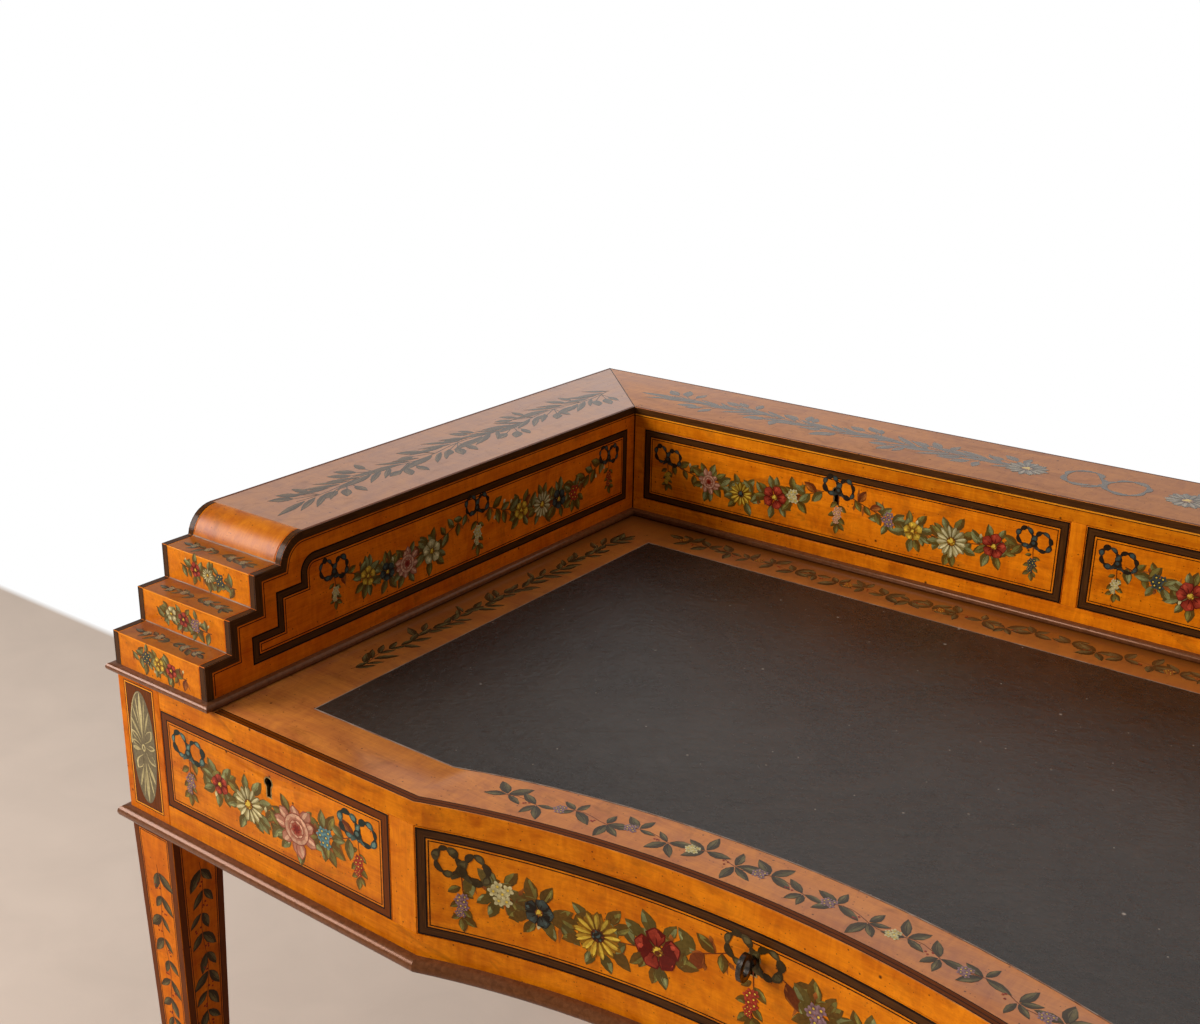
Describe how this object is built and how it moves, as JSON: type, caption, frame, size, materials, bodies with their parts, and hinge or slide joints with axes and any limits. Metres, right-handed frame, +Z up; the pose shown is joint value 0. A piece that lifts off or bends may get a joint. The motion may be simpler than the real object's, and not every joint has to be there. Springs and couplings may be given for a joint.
{
  "type": "carlton house desk",
  "caption": "Painted satinwood writing desk with a recessed frieze, leather top, low stepped gallery of drawers on three sides and square tapered legs.",
  "frame": {"origin": "on the floor under the middle of the desk", "axes": "+X to the sitter's right along the width, +Y towards the back of the desk, +Z up; the sitter is on the -Y side"},
  "size_m": [1.238, 0.743, 0.884],
  "materials": {
    "satinwood": "polished veneer",
    "rosewood": "polished",
    "drawer_lining": "raw",
    "leather": "worn",
    "brass": "tarnished",
    "key_steel": "worn"
  },
  "bodies": {
    "carcase": {"back_frieze": "satinwood", "drawer_partitions": "drawer_lining", "drawer_stops": "drawer_lining", "frieze_drawer_runners": "drawer_lining", "front_bottom_rail": "satinwood", "gallery_back_board": "satinwood", "gallery_bottom_rail": "satinwood", "gallery_drawer_runners": "drawer_lining", "gallery_inner_side_left": "satinwood", "gallery_inner_side_right": "satinwood", "gallery_moulding": "rosewood", "gallery_nosing_left": "satinwood", "gallery_nosing_right": "satinwood", "gallery_outer_side_left": "satinwood", "gallery_outer_side_right": "satinwood", "gallery_partition": "drawer_lining", "gallery_steps_left": "satinwood", "gallery_steps_right": "satinwood", "gallery_stiles": "satinwood", "gallery_top_back": "satinwood", "gallery_top_left": "satinwood", "gallery_top_rail": "satinwood", "gallery_top_right": "satinwood", "inner_stiles": "satinwood", "leather_inset": "leather", "leg_back_left": "satinwood", "leg_back_right": "satinwood", "leg_front_left": "satinwood", "leg_front_right": "satinwood", "lower_moulding": "rosewood", "recess_moulding": "rosewood", "side_frieze_left": "satinwood", "side_frieze_right": "satinwood", "table_top": "satinwood"},
    "frieze_left_drawer": {"frieze_left_drawer_front": "satinwood", "frieze_left_drawer_box": "drawer_lining", "frieze_left_drawer_bottom": "drawer_lining", "frieze_left_lock": "brass"},
    "frieze_left_bolt": {"frieze_left_lock_bolt": "brass"},
    "frieze_centre_drawer": {"frieze_centre_drawer_front": "satinwood", "frieze_centre_drawer_box": "drawer_lining", "frieze_centre_drawer_bottom": "drawer_lining", "frieze_centre_lock": "brass"},
    "frieze_centre_bolt": {"frieze_centre_lock_bolt": "brass"},
    "frieze_right_drawer": {"frieze_right_drawer_front": "satinwood", "frieze_right_drawer_box": "drawer_lining", "frieze_right_drawer_bottom": "drawer_lining", "frieze_right_lock": "brass"},
    "frieze_right_bolt": {"frieze_right_lock_bolt": "brass"},
    "gallery_left_drawer": {"gallery_left_drawer_front": "satinwood", "gallery_left_drawer_box": "drawer_lining", "gallery_left_drawer_bottom": "drawer_lining", "gallery_left_lock": "brass"},
    "gallery_left_bolt": {"gallery_left_lock_bolt": "brass"},
    "gallery_right_drawer": {"gallery_right_drawer_front": "satinwood", "gallery_right_drawer_box": "drawer_lining", "gallery_right_drawer_bottom": "drawer_lining", "gallery_right_lock": "brass"},
    "gallery_right_bolt": {"gallery_right_lock_bolt": "brass"},
    "key": {"frieze_centre_key": "key_steel"}
  },
  "joints": [
    {"name": "frieze_left_drawer_slide", "type": "slide", "parent": "carcase", "child": "frieze_left_drawer", "axis": [0, -1, 0], "range_m": [0, 0.4]},
    {"name": "frieze_centre_drawer_slide", "type": "slide", "parent": "carcase", "child": "frieze_centre_drawer", "axis": [0, -1, 0], "range_m": [0, 0.4]},
    {"name": "frieze_right_drawer_slide", "type": "slide", "parent": "carcase", "child": "frieze_right_drawer", "axis": [0, -1, 0], "range_m": [0, 0.4]},
    {"name": "gallery_left_drawer_slide", "type": "slide", "parent": "carcase", "child": "gallery_left_drawer", "axis": [0, -1, 0], "range_m": [0, 0.075]},
    {"name": "gallery_right_drawer_slide", "type": "slide", "parent": "carcase", "child": "gallery_right_drawer", "axis": [0, -1, 0], "range_m": [0, 0.075]},
    {"name": "frieze_left_bolt_throw", "type": "slide", "parent": "frieze_left_drawer", "child": "frieze_left_bolt", "axis": [0, 0, 1], "range_m": [0, 0.007]},
    {"name": "frieze_centre_bolt_throw", "type": "slide", "parent": "frieze_centre_drawer", "child": "frieze_centre_bolt", "axis": [0, 0, 1], "range_m": [0, 0.007]},
    {"name": "frieze_right_bolt_throw", "type": "slide", "parent": "frieze_right_drawer", "child": "frieze_right_bolt", "axis": [0, 0, 1], "range_m": [0, 0.007]},
    {"name": "gallery_left_bolt_throw", "type": "slide", "parent": "gallery_left_drawer", "child": "gallery_left_bolt", "axis": [0, 0, 1], "range_m": [0, 0.007]},
    {"name": "gallery_right_bolt_throw", "type": "slide", "parent": "gallery_right_drawer", "child": "gallery_right_bolt", "axis": [0, 0, 1], "range_m": [0, 0.007]},
    {"name": "key_turn", "type": "hinge", "parent": "frieze_centre_drawer", "child": "key", "pos_m": [0, -0.3155, 0.7175], "axis": [0, 1, 0], "range_deg": [0, 180]}
  ],
  "couplings": [
    {"joint": "key_turn", "follows": "frieze_centre_bolt_throw", "rad_per_m": 448.8}
  ]
}
